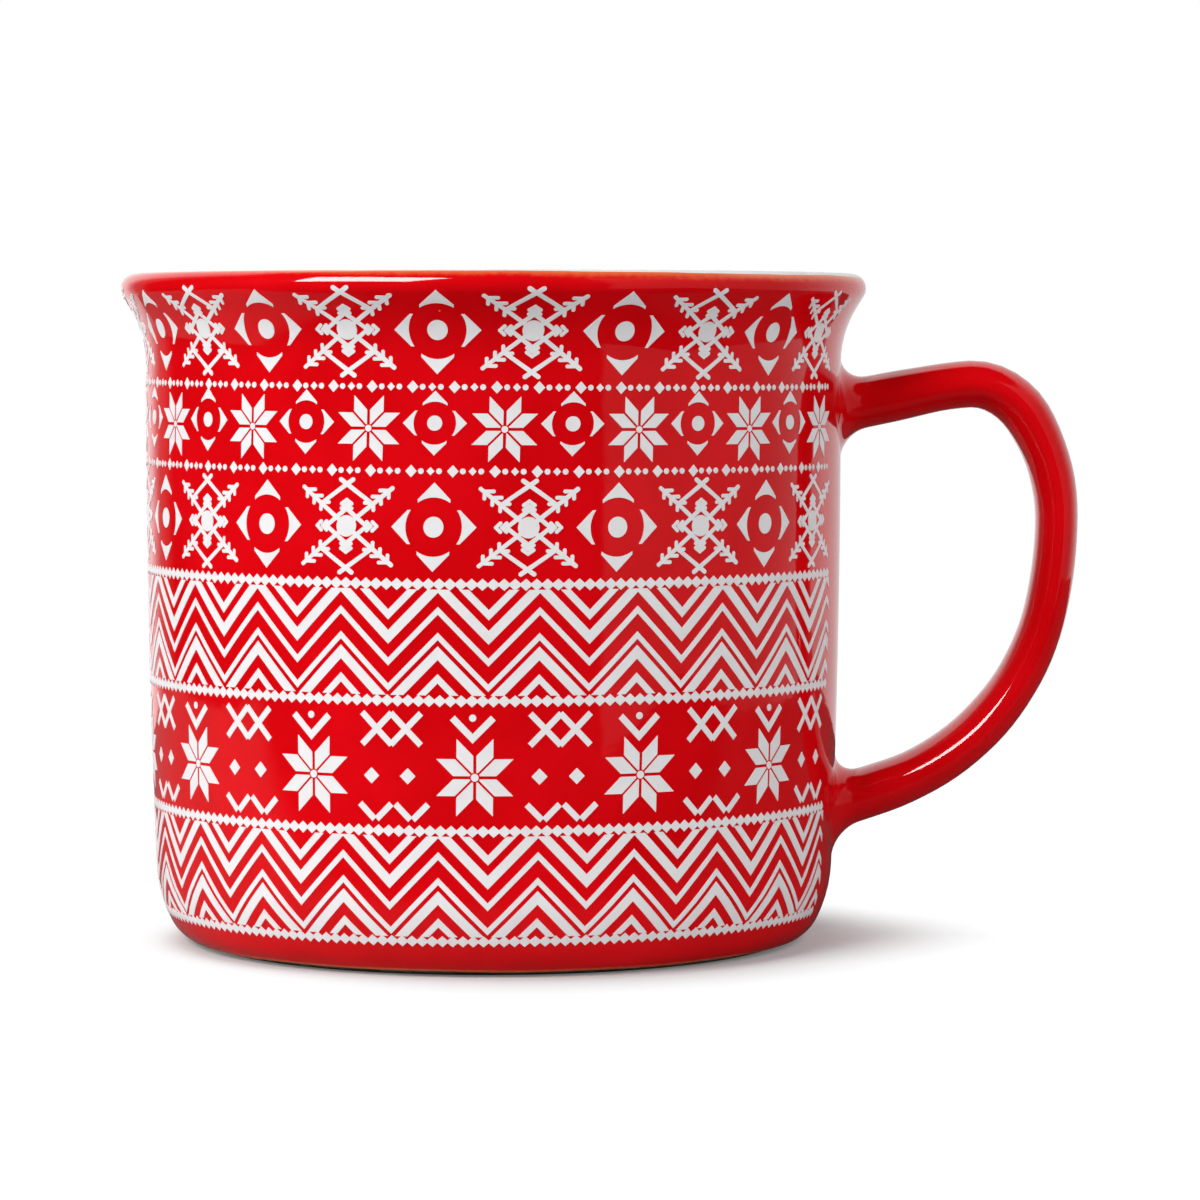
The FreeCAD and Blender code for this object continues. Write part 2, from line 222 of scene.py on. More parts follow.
# Shader nodes -------------------------------------------------------------------------------
class Graph:
    """The node tree of one material or world."""

    def __init__(self, owner: bpy.types.Material | bpy.types.World) -> None:
        """Empties the owner's node tree and keeps it."""
        owner.use_nodes = True
        self.tree = owner.node_tree
        self.tree.nodes.clear()

    def node(self, kind: str, settings: dict | None = None,
             inputs: dict | None = None) -> bpy.types.Node:
        """Makes a node.

        Args:
            kind: the node's type.
            settings: its properties, which are set first.
            inputs: a value, socket or signal for each input, by name or number.

        Returns:
            The node.
        """
        made = self.tree.nodes.new(kind)
        for name, value in (settings or {}).items():
            setattr(made, name, value)
        for name, value in (inputs or {}).items():
            if isinstance(value, Signal):
                value = value.socket
            if isinstance(value, bpy.types.NodeSocket):
                self.tree.links.new(value, made.inputs[name])
            else:
                made.inputs[name].default_value = value
        return made

    def signal(self, kind: str, output: str | int, settings: dict | None = None,
               inputs: dict | None = None) -> "Signal":
        """Makes a node and gives one of its outputs, ready for arithmetic."""
        return Signal(self, self.node(kind, settings, inputs).outputs[output])

    def noise(self, where: bpy.types.NodeSocket, size: float, detail: float = 2.0) -> "Signal":
        """Soft noise from 0 to 1 whose blotches are about this size, in millimetres."""
        return self.signal("ShaderNodeTexNoise", "Fac", None, {
            "Vector": where, "Scale": 1.0 / (size * MM), "Detail": detail})

    def blend(self, share: "Signal", first: object, second: object) -> "Signal":
        """Mixes two colours; share is how much of the second shows."""
        return self.signal("ShaderNodeMix", 2, {"data_type": "RGBA"}, {
            0: share, 6: first, 7: second})


class Signal:
    """A number that a node puts out, which arithmetic joins to Math nodes."""

    def __init__(self, graph: Graph, socket: bpy.types.NodeSocket) -> None:
        """Wraps one output socket."""
        self.graph = graph
        self.socket = socket

    def _math(self, operation: str, *values: object) -> "Signal":
        """Adds one Math node."""
        return self.graph.signal("ShaderNodeMath", 0, {"operation": operation},
                                 dict(enumerate(values)))

    def __add__(self, other: object) -> "Signal":
        """self + other."""
        return self._math("ADD", self, other)

    __radd__ = __add__

    def __mul__(self, other: object) -> "Signal":
        """self * other."""
        return self._math("MULTIPLY", self, other)

    __rmul__ = __mul__

    def __sub__(self, other: object) -> "Signal":
        """self - other."""
        return self._math("SUBTRACT", self, other)

    def __rsub__(self, other: object) -> "Signal":
        """other - self."""
        return self._math("SUBTRACT", other, self)

    def step(self, low: float, high: float) -> "Signal":
        """Rises smoothly from 0 at low to 1 at high; high may be the lesser."""
        return self.graph.signal("ShaderNodeMapRange", 0, {"interpolation_type": "SMOOTHSTEP"}, {
            "Value": self, "From Min": low, "From Max": high})


# Finishes -----------------------------------------------------------------------------------
@dataclass(frozen=True)
class Finish:
    """What every finish shares.

    Args:
        name: the material's name.
        slot: the record's slot that it stands for, or None off the mug; not used.
    """

    name: str
    slot: Slot | None = None

    def surface(self, graph: Graph, colour: Signal, roughness: Signal | float,
                height: Signal, depth: float, ior: float = 1.5) -> None:
        """Joins the colour, roughness and relief to one surface shader.

        Args:
            graph: the material's nodes.
            colour: the base colour.
            roughness: the roughness, even or varying.
            height: the relief, from 0 to 1.
            depth: how deep the relief is, in millimetres.
            ior: how strongly the surface bends light.
        """
        relief = graph.signal("ShaderNodeBump", 0, None, {
            "Height": height, "Distance": depth * MM, "Strength": 1.0})
        shader = graph.node("ShaderNodeBsdfPrincipled", None, {
            "Base Color": colour, "Roughness": roughness, "Normal": relief, "IOR": ior})
        graph.node("ShaderNodeOutputMaterial", None, {"Surface": shader.outputs[0]})

    def dress(self, graph: Graph, where: bpy.types.NodeSocket) -> None:
        """Builds the finish's nodes; each kind of finish has its own."""
        raise NotImplementedError

    def material(self) -> bpy.types.Material:
        """Makes the material, or gives the one already made."""
        found = bpy.data.materials.get(self.name)
        if found:
            return found
        made = bpy.data.materials.new(self.name)
        graph = Graph(made)
        where = graph.node("ShaderNodeTexCoord").outputs["Object"]
        self.dress(graph, where)
        return made


def specks(graph: Graph, where: bpy.types.NodeSocket, spacing: float, size: float,
           share: float) -> Signal:
    """Scattered round specks.

    Args:
        graph: the material's nodes.
        where: the coordinates that they are spread over.
        spacing: the cells' size, in millimetres.
        size: a speck's radius, in millimetres.
        share: the share of the cells that hold a speck.

    Returns:
        A mask that is 1 in a speck.
    """
    cells = graph.node("ShaderNodeTexVoronoi", {"feature": "F1"}, {
        "Vector": where, "Scale": 1.0 / (spacing * MM)})
    near = Signal(graph, cells.outputs["Distance"]).step(size / spacing, 0.5 * size / spacing)
    chance = graph.signal("ShaderNodeSeparateColor", 0, None, {"Color": cells.outputs["Color"]})
    return near * chance.step(share, share - 0.02)


@dataclass(frozen=True)
class RedGlaze(Finish):
    """Deep red gloss glaze: faintly uneven, pinholed, and orange where it thins at an edge."""

    deep: Colour = (0.66, 0.0016, 0.0040, 1)
    bright: Colour = (0.75, 0.0024, 0.0062, 1)
    thin: Colour = (0.82, 0.17, 0.06, 1)
    fleck: Colour = (0.86, 0.30, 0.26, 1)
    pinhole: Colour = (0.25, 0.001, 0.002, 1)

    def dress(self, graph: Graph, where: bpy.types.NodeSocket) -> None:
        """Layers the reds, the thin edge, the flecks and a faint orange peel."""
        cloud = graph.noise(where, 16.0, 3.0).step(0.3, 0.7)
        colour = graph.blend(cloud, self.deep, self.bright)
        colour = graph.blend(graph.noise(where, 1.1).step(0.62, 0.80) * 0.35, colour, self.deep)
        pores = specks(graph, where, 5.0, 0.13, 0.16)
        colour = graph.blend(pores * 0.6, colour, self.pinhole)
        colour = graph.blend(specks(graph, where, 7.0, 0.16, 0.10) * 0.55, colour, self.fleck)
        edge = graph.signal("ShaderNodeAttribute", "Fac", {"attribute_name": "thin_glaze"})
        ragged = (edge + (graph.noise(where, 0.9) - 0.5) * 0.4).step(0.10, 1.0)
        colour = graph.blend(ragged, colour, self.thin)
        roughness = graph.noise(where, 7.0) * 0.03 + 0.035 + pores * 0.2
        peel = graph.noise(where, 5.0, 0.0) * 0.8 + graph.noise(where, 1.4, 1.0) * 0.2
        self.surface(graph, colour, roughness, peel - pores * 0.4, 0.030)


@dataclass(frozen=True)
class LinerGlaze(Finish):
    """Glossy off-white liner with faint mottling and a few iron specks."""

    white: Colour = (0.76, 0.76, 0.745, 1)
    cool: Colour = (0.70, 0.71, 0.705, 1)
    iron: Colour = (0.30, 0.22, 0.16, 1)

    def dress(self, graph: Graph, where: bpy.types.NodeSocket) -> None:
        """Layers the whites, the specks and a soft ripple."""
        colour = graph.blend(graph.noise(where, 9.0, 3.0).step(0.3, 0.75), self.white, self.cool)
        colour = graph.blend(specks(graph, where, 4.0, 0.10, 0.12) * 0.7, colour, self.iron)
        roughness = graph.noise(where, 6.0) * 0.04 + 0.06
        ripple = graph.noise(where, 6.0, 0.0) * 0.8 + graph.noise(where, 1.5, 1.0) * 0.2
        self.surface(graph, colour, roughness, ripple, 0.030)


@dataclass(frozen=True)
class Enamel(Finish):
    """Satin white print enamel, a little thin and pink in places."""

    white: Colour = (0.85, 0.845, 0.855, 1)
    sheer: Colour = (0.81, 0.75, 0.77, 1)
    pit: Colour = (0.80, 0.40, 0.42, 1)

    def dress(self, graph: Graph, where: bpy.types.NodeSocket) -> None:
        """Layers the white, its thin places, pits of the screen and a fine grain."""
        thin = graph.noise(where, 5.0, 3.0).step(0.45, 0.78) * 0.5
        colour = graph.blend(thin, self.white, self.sheer)
        colour = graph.blend(graph.noise(where, 0.35).step(0.68, 0.86) * 0.35, colour, self.sheer)
        pits = specks(graph, where, 1.6, 0.07, 0.14)
        colour = graph.blend(pits * 0.6, colour, self.pit)
        grain = graph.noise(where, 0.22, 3.0)
        self.surface(graph, colour, grain * 0.16 + 0.30, grain - pits, 0.006, ior=1.45)


@dataclass(frozen=True)
class Stoneware(Finish):
    """Bare fired clay: buff, grainy and matt."""

    buff: Colour = (0.52, 0.40, 0.29, 1)
    toasted: Colour = (0.36, 0.23, 0.14, 1)
    grog: Colour = (0.16, 0.11, 0.08, 1)

    def dress(self, graph: Graph, where: bpy.types.NodeSocket) -> None:
        """Layers the body colour, toasted patches and dark grains."""
        colour = graph.blend(graph.noise(where, 7.0, 4.0).step(0.35, 0.7), self.buff, self.toasted)
        grains = specks(graph, where, 0.9, 0.16, 0.25)
        colour = graph.blend(grains * 0.7, colour, self.grog)
        grit = graph.noise(where, 0.5, 4.0)
        self.surface(graph, colour, grit * 0.2 + 0.75, grit + grains * 0.3, 0.05)


RED = RedGlaze("red_gloss_glaze", Slot.RED)
LINER = LinerGlaze("white_liner_glaze", Slot.LINER)
ENAMEL = Enamel("white_print_enamel", Slot.ENAMEL)
CLAY = Stoneware("bare_stoneware", Slot.CLAY)


# Making pieces ------------------------------------------------------------------------------
def to_mesh(bm: bmesh.types.BMesh, name: str) -> bpy.types.Mesh:
    """Turns a bmesh into a mesh and frees it."""
    mesh = bpy.data.meshes.new(name)
    bm.to_mesh(mesh)
    bm.free()
    return mesh


def add_object(name: str, data: bpy.types.ID) -> bpy.types.Object:
    """Adds an object that holds this mesh, lamp or camera to the scene."""
    made = bpy.data.objects.new(name, data)
    bpy.context.scene.collection.objects.link(made)
    return made


def add_piece(bm: bmesh.types.BMesh, name: str, finish: Finish, node: str) -> None:
    """Makes an object of a finished bmesh, dresses it and joins it to the frame.

    Args:
        bm: the shape, in millimetres; it is freed.
        name: the piece's name.
        finish: its finish.
        node: the CAD node that it stands for.
    """
    bmesh.ops.scale(bm, vec=(MM, MM, MM), verts=bm.verts)
    for face in bm.faces:
        face.smooth = True
    mesh = to_mesh(bm, name)
    mesh.set_sharp_from_angle(angle=CREASE)
    mesh.materials.append(finish.material())
    piece = add_object(name, mesh)
    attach(piece, BODY)
    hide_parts(node)
    LOG.info("%s: %d faces, stands for %s", name, len(mesh.polygons), node)


def close_up(bm: bmesh.types.BMesh) -> None:
    """Merges doubled points and turns every face outwards."""
    bmesh.ops.remove_doubles(bm, verts=bm.verts, dist=1e-4)
    bmesh.ops.recalc_face_normals(bm, faces=bm.faces)


def turned(points: list[Point], steps: int) -> bmesh.types.BMesh:
    """Spins a closed section once round the mug's axis.

    Args:
        points: the section's corners, as radius and height.
        steps: how many times it is repeated round the axis.

    Returns:
        The closed shape.
    """
    bm = bmesh.new()
    corners = [bm.verts.new((0, -r, z)) for r, z in points]
    for first, second in zip(corners, corners[1:] + corners[:1]):
        bm.edges.new((first, second))
    bmesh.ops.spin(bm, geom=bm.verts[:] + bm.edges[:], cent=(0, 0, 0), axis=(0, 0, 1),
                   dvec=(0, 0, 0), angle=2 * math.pi, steps=steps, use_merge=True)
    close_up(bm)
    return bm


def smooth_share(value: float) -> float:
    """Eases a share from 0 to 1."""
    value = min(max(value, 0.0), 1.0)
    return value * value * (3 - 2 * value)


# The cup ------------------------------------------------------------------------------------
@dataclass
class Cup:
    """The thrown cup and its three coats of glaze."""

    coat: float = 0.3
    steps: int = 256
    wall_step: float = 3.0
    foot: list[Point] = field(default_factory=lambda: [(39.8, 0.0), (36.2, 0.0)])
    recess: Point = (34.6, 1.7)
    recess_top: float = 2.1
    floor_height: float = 6.5
    line_mid: float = 72.0      # degrees round the lip where the red ends, on average
    line_swing: float = 24.0    # how much lower it runs on the handle's side
    line_ripples: list[tuple[float, int, float]] = field(default_factory=lambda: [
        (1.6, 7, 0.6), (1.2, 11, 2.0), (0.8, 19, 0.0), (0.5, 41, 1.0)])
    rolled: Point = (-20.0, 145.0)      # degrees of the lip over which the coats are moved
    thin_band: float = 42.0     # degrees of the lip over which the red thins out
    lap: float = 1.2            # how far above its lower end the red coat wanders
    lap_thin: float = 0.9       # and how far it is thin

    def glaze_line(self, theta: float) -> float:
        """How far round the lip the red ends at this angle round the mug, in degrees."""
        ripple = sum(size * math.sin(count * theta + phase)
                     for size, count, phase in self.line_ripples)
        return self.line_mid - self.line_swing * math.sin(theta + math.radians(10)) + ripple

    def roll_lip(self, bm: bmesh.types.BMesh) -> None:
        """Moves the line between the glazes round the lip, and marks where the red is thin."""
        thin = bm.verts.layers.float.new("thin_glaze")
        low, high = self.rolled
        for vert in bm.verts:
            reach = math.hypot(vert.co.x, vert.co.y)
            across, up = reach - LIP[0], vert.co.z - LIP[1]
            size = math.hypot(across, up)
            turn = math.degrees(math.atan2(up, across))
            on_lip = LIP_ROUND - 1.5 * self.coat < size < LIP_ROUND + 0.1
            if not on_lip or not low < turn < high:
                continue
            theta = math.atan2(vert.co.x, -vert.co.y)
            shift = self.glaze_line(theta) - GLAZE_LINE
            far = low if turn < GLAZE_LINE else high
            moved = turn + shift * (turn - far) / (GLAZE_LINE - far)
            vert[thin] = max(0.0, 1 - (self.glaze_line(theta) - moved) / self.thin_band)
            radius = LIP[0] + size * math.cos(math.radians(moved))
            vert.co = (radius * math.sin(theta), -radius * math.cos(theta),
                       LIP[1] + size * math.sin(math.radians(moved)))

    def lap_foot(self, bm: bmesh.types.BMesh) -> None:
        """Lets the red coat's lower end wander a little, and marks it as thin."""
        thin = bm.verts.layers.float["thin_glaze"]
        end = OUTSIDE.at(OUTSIDE.length)
        for vert in bm.verts:
            reach = math.hypot(vert.co.x, vert.co.y)
            gap = math.hypot(reach - end.x, vert.co.z - end.z)
            if gap < self.lap:
                theta = math.atan2(vert.co.x, -vert.co.y)
                wander = 0.16 * math.sin(5 * theta) + 0.12 * math.sin(13 * theta + 1)
                slide = (1 - gap / self.lap) * wander
                vert[thin] = 1 - gap / self.lap_thin
                radius = reach + slide * math.cos(end.heading)
                vert.co = (radius * math.sin(theta), -radius * math.cos(theta),
                           vert.co.z + slide * math.sin(end.heading))

    def coat_section(self, outline: Outline, side: float) -> tuple[list[Point], list[Point]]:
        """The two faces of a coat along an outline.

        Args:
            outline: the coat's glazed face.
            side: how far to the left of it the clay lies.

        Returns:
            The glazed face's points and the clay face's points, both in the outline's order.
        """
        stations = outline.walk(self.wall_step)
        return [(s.x, s.z) for s in stations], [s.beside(side) for s in stations]

    def make_wall_glaze(self) -> None:
        """The red coat outside."""
        outer, inner = self.coat_section(OUTSIDE, -self.coat)
        bm = turned(outer + inner[::-1], self.steps)
        self.roll_lip(bm)
        self.lap_foot(bm)
        add_piece(bm, "wall_red_coat", RED, "wall_glaze")

    def make_liner(self) -> None:
        """The white coat inside, over the lip and across the floor."""
        outer, inner = self.coat_section(INSIDE, self.coat)
        floor = [(0.0, self.floor_height), (0.0, self.floor_height - self.coat)]
        bm = turned(outer + floor + inner[::-1], self.steps)
        self.roll_lip(bm)
        add_piece(bm, "white_liner", LINER, "liner_glaze")

    def make_base_glaze(self) -> None:
        """The glaze on the hollow underside."""
        edge, middle = self.recess, (0.0, self.recess_top)
        bm = turned([edge, middle, (0.0, self.recess_top + self.coat),
                     (edge[0], edge[1] + self.coat)], self.steps)
        add_piece(bm, "underside_coat", LINER, "base_glaze")

    def make_clay(self) -> None:
        """The clay body, whose foot ring stays bare."""
        _, outer = self.coat_section(OUTSIDE, -self.coat)
        _, inner = self.coat_section(INSIDE, self.coat)
        recess = [(self.recess[0], self.recess[1] + self.coat),
                  (0.0, self.recess_top + self.coat), (0.0, self.floor_height - self.coat)]
        bm = turned(outer + self.foot + recess + inner[:0:-1], self.steps)
        add_piece(bm, "stoneware_cup", CLAY, "cup_body")


# The handle ---------------------------------------------------------------------------------
@dataclass
class Handle:
    """The pulled handle, stuck to the wall with slip at both ends."""

    coat: float = 0.3
    sides: int = 48
    fillet: float = 3.6
    fillet_rings: int = 9
    clear: float = 1.8          # the bare stretch between a fillet and the evenly spaced rings
    step: float = 1.6
    sunk: float = 0.02          # how far the fillets' feet are sunk into the wall's glaze
    gap: float = 0.02           # how far the clay lies inside the coat
    # distance along the middle line, half thickness, half width
    sections: list[tuple[float, float, float]] = field(default_factory=lambda: [
        (3, 3.55, 6.3), (9, 3.46, 6.0), (18, 3.22, 5.8), (29, 3.3, 5.8), (38, 3.02, 5.75),
        (46, 2.86, 5.7), (58, 2.9, 5.7), (68, 3.02, 5.75), (77, 3.18, 5.8), (87, 3.3, 5.9),
        (94, 3.48, 6.1), (101, 3.55, 6.3)])

    def half_sizes(self, along: float) -> Point:
        """Half the thickness and half the width this far along."""
        rows = self.sections
        for (start, *first), (end, *second) in zip(rows, rows[1:]):
            if along <= end:
                share = smooth_share((along - start) / (end - start))
                return tuple(a + (b - a) * share for a, b in zip(first, second))
        return rows[-1][1], rows[-1][2]

    def frame(self, along: float, skin: float, grow: float) -> Matrix:
        """Where a unit circle goes to become the section this far along.

        Args:
            along: the distance along the middle line.
            skin: how deep under the glaze the section lies.
            grow: how much the fillet adds.

        Returns:
            The placement, sizes included.
        """
        station = MIDDLE_LINE.at(along)
        half_thick, half_wide = self.half_sizes(along)
        turn = Matrix((
            (0, -math.sin(station.heading), math.cos(station.heading)),
            (1, 0, 0),
            (0, math.cos(station.heading), math.sin(station.heading)))).to_4x4()
        size = Matrix.Diagonal((half_wide - skin + grow, half_thick - skin + grow, 1, 1))
        return Matrix.Translation((station.x, 0, station.z)) @ turn @ size

    @staticmethod
    def wall_gap(point: Vector) -> float:
        """How far a point lies outside the wall."""
        return WALL.clearance(math.hypot(point.x, point.y), point.z)

    def wall_crossing(self, low: float, high: float) -> float:
        """Where the middle line passes through the wall, between two distances along it."""
        rising = self.wall_gap(self.spot(high)) > self.wall_gap(self.spot(low))
        while abs(high - low) > 1e-4:
            middle = (low + high) / 2
            outside = self.wall_gap(self.spot(middle)) > 0
            low, high = (low, middle) if outside == rising else (middle, high)
        return low

    @staticmethod
    def spot(along: float) -> Vector:
        """The middle line's point this far along."""
        station = MIDDLE_LINE.at(along)
        return Vector((station.x, 0, station.z))

    def settle(self, point: Vector, along: float, gap: float) -> Vector:
        """Slides a point along the handle until it is this far from the wall."""
        heading = MIDDLE_LINE.at(along).heading
        direction = Vector((math.cos(heading), 0, math.sin(heading)))
        for _ in range(8):
            here = self.wall_gap(point)
            slope = (self.wall_gap(point + direction * 0.01) - here) / 0.01
            point = point + direction * ((gap - here) / slope)
        return point

    def fillet_ends(self, sign: int, crossing: float) -> list[Ring]:
        """The rings of one fillet, from the handle to the wall.

        Args:
            sign: 1 where the middle line leaves the wall, -1 where it comes back.
            crossing: where the middle line passes through the wall.

        Returns:
            For each ring its distance along, its distance from the wall and its growth.
        """
        rings = []
        for index in range(self.fillet_rings + 1):
            turn = 0.5 * math.pi * index / self.fillet_rings
            gap = self.fillet * (1 - math.sin(turn))
            rings.append((crossing + sign * gap, gap, self.fillet * (1 - math.cos(turn))))
        return rings

    def rings(self) -> list[Ring]:
        """Every ring in order: distance along, distance from the wall if it is set, growth."""
        start = self.wall_crossing(0, 20)
        end = self.wall_crossing(MIDDLE_LINE.length - 20, MIDDLE_LINE.length)
        first = self.fillet_ends(1, start)[::-1]
        last = self.fillet_ends(-1, end)
        clear = self.fillet + self.clear
        count = math.ceil((end - start - 2 * clear) / self.step)
        stretch = (end - start - 2 * clear) / count
        middle = [(start + clear + index * stretch, None, 0.0) for index in range(count + 1)]
        return first + middle + last

    def tube(self, bm: bmesh.types.BMesh, rings: list[Ring], skin: float,
             flared: bool = True) -> tuple[list, list]:
        """Runs the section through the rings.

        Args:
            bm: where the tube is made.
            rings: the rings, as rings() gives them.
            skin: how deep under the glaze the tube lies.
            flared: whether it spreads into the fillets.

        Returns:
            The edges of the first and the last ring.
        """
        made = bmesh.ops.create_circle(bm, cap_ends=False, segments=self.sides, radius=1)
        verts = made["verts"]
        first = edges = list({edge for vert in verts for edge in vert.link_edges})
        circle = [vert.co.copy() for vert in verts]
        for index, (along, gap, grow) in enumerate(rings):
            if index:
                grown = bmesh.ops.extrude_edge_only(bm, edges=edges)["geom"]
                fresh = [item for item in grown if isinstance(item, bmesh.types.BMVert)]
                edges = [item for item in grown if isinstance(item, bmesh.types.BMEdge)
                         and all(vert in fresh for vert in item.verts)]
                verts = self.matched(verts, fresh)
            place = self.frame(along, skin, grow if flared else 0.0)
            for vert, spot in zip(verts, circle):
                vert.co = place @ spot
                if gap is not None:
                    vert.co = self.settle(vert.co, along, gap - self.sunk - skin * (
                        1 - gap / self.fillet))
        return first, edges

    @staticmethod
    def matched(before: list, fresh: list) -> list:
        """The new ring's vertices in the order of the ring that they grew from."""
        new = set(fresh)
        return [next(edge.other_vert(vert) for edge in vert.link_edges
                     if edge.other_vert(vert) in new) for vert in before]

    def shell(self, rings: list[Ring], skins: Point, flared: bool) -> bmesh.types.BMesh:
        """A closed shell between two tubes.

        Args:
            rings: the rings, as rings() gives them.
            skins: how deep under the glaze the outer and the inner tube lie.
            flared: whether the inner tube spreads into the fillets as the outer one does.

        Returns:
            The shell.
        """
        bm = bmesh.new()
        outer = self.tube(bm, rings, skins[0])
        inner = self.tube(bm, rings, skins[1], flared)
        for outer_edges, inner_edges in zip(outer, inner):
            bmesh.ops.bridge_loops(bm, edges=outer_edges + inner_edges)
        close_up(bm)
        return bm

    def make_glaze(self) -> None:
        """The red coat round the whole handle, a closed shell."""
        bm = self.shell(self.rings(), (0.0, self.coat), flared=True)
        add_piece(bm, "handle_red_coat", RED, "handle_glaze")

    def make_core(self) -> None:
        """The clay handle under the coat."""
        bm = bmesh.new()
        for edges in self.tube(bm, self.rings(), self.coat + self.gap, flared=False):
            bmesh.ops.contextual_create(bm, geom=edges)
        close_up(bm)
        add_piece(bm, "stoneware_handle", CLAY, "handle")

    def make_slips(self) -> None:
        """The slip fillets at the two ends."""
        rings = [ring for ring in self.rings() if ring[1] is not None]
        half = len(rings) // 2
        skins = (self.coat + self.gap, self.coat + 2.5 * self.gap)
        for end, ends in (("upper", rings[:half]), ("lower", rings[half:])):
            bm = self.shell(ends, skins, flared=False)
            add_piece(bm, f"{end}_slip_fillet", CLAY, f"{end}_slip_joint")


# The print ----------------------------------------------------------------------------------
class Role(Enum):
    """What a flat shape does to the outline that it is laid in."""

    INK = 0
    CLEAR = 1
    FRAME = 2


class Stencil:
    """Flat shapes laid over each other, then cut out as one outline."""

    def __init__(self) -> None:
        """Starts empty."""
        self.bm = bmesh.new()
        self.turns = self.bm.faces.layers.int.new("turn")
        self.roles: list[Role] = []

    def claim(self, role: Role) -> None:
        """Gives the faces added last this role, and their turn in the order."""
        self.roles.append(role)
        for face in self.bm.faces:
            face[self.turns] = face[self.turns] or len(self.roles)

    def disc(self, centre: Point, radius: float, role: Role = Role.INK, sides: int = 28) -> None:
        """Lays a round dot."""
        bmesh.ops.create_circle(self.bm, cap_ends=True, segments=sides, radius=radius,
                                matrix=Matrix.Translation((*centre, 0)))
        self.claim(role)

    def stroke(self, first: Point, last: Point, width: float, rounded: bool = True) -> None:
        """Lays a straight stroke.

        Args:
            first: where its middle line starts.
            last: where it ends.
            width: how wide it is.
            rounded: whether the ends are round or square.
        """
        start, end = Vector(first), Vector(last)
        turn = Matrix.Rotation(math.atan2(end.y - start.y, end.x - start.x), 4, "Z")
        place = Matrix.Translation((*start, 0)) @ turn
        if rounded:
            made = bmesh.ops.create_circle(self.bm, cap_ends=True, segments=12,
                                           radius=width / 2)["verts"]
            far = [vert for vert in made if vert.co.x > -1e-6]
        else:
            made = bmesh.ops.create_grid(self.bm, x_segments=1, y_segments=1,
                                         size=width / 2)["verts"]
            far = [vert for vert in made if vert.co.x > 0]
            bmesh.ops.translate(self.bm, verts=made, vec=(width / 2, 0, 0))
            bmesh.ops.translate(self.bm, verts=far, vec=(-width, 0, 0))
        bmesh.ops.translate(self.bm, verts=far, vec=((end - start).length, 0, 0))
        bmesh.ops.transform(self.bm, matrix=place, verts=made)
        self.claim(Role.INK)

    def patch(self, corners: list[Point], rounding: float = 0.0, turn: float = 0.0,
              role: Role = Role.INK) -> None:
        """Lays a flat piece with straight sides.

        Args:
            corners: its corners in turn.
            rounding: how far the corners are rounded off.
            turn: how far it is turned about the middle, in degrees.
            role: what it does.
        """
        spin = Matrix.Rotation(math.radians(turn), 3, "Z")
        verts = [self.bm.verts.new(spin @ Vector((*corner, 0))) for corner in corners]
        self.bm.faces.new(verts)
        if rounding:
            bmesh.ops.bevel(self.bm, geom=verts, offset=rounding, affect="VERTICES",
                            segments=3, profile=0.5, material=-1)
        self.claim(role)

    def four_ways(self, first: Point, last: Point, width: float) -> None:
        """Lays the same stroke in all four quarters."""
        for flip_x in (1, -1):
            for flip_y in (1, -1):
                self.stroke((first[0] * flip_x, first[1] * flip_y),
                            (last[0] * flip_x, last[1] * flip_y), width)

    def cut_out(self) -> bmesh.types.BMesh:
        """Cuts the shapes as one flat sheet: inked last of all, and inside any frame."""
        self.bm.normal_update()
        points: list[Vector] = []
        loops: list[list[int]] = []
        turns: list[int] = []
        for face in self.bm.faces:
            corners = [vert.co.to_2d() for vert in face.verts]
            loops.append(list(range(len(points), len(points) + len(corners))))
            points += corners if face.normal.z > 0 else corners[::-1]
            turns.append(face[self.turns])
        framed = Role.FRAME in self.roles
        spots, _, faces, _, _, owners = delaunay_2d_cdt(points, [], loops, 1, 1e-4)
        sheet = bmesh.new()
        verts = [sheet.verts.new((*spot, 0)) for spot in spots]
        for corners, owner in zip(faces, owners):
            roles = [self.roles[turn - 1] for turn in sorted(turns[index] for index in owner)]
            laid = [role for role in roles if role is not Role.FRAME]
            if laid and laid[-1] is Role.INK and (Role.FRAME in roles or not framed):
                sheet.faces.new([verts[index] for index in corners])
        bmesh.ops.delete(sheet, geom=[vert for vert in verts if not vert.link_faces],
                         context="VERTS")
        self.bm.free()
        return sheet


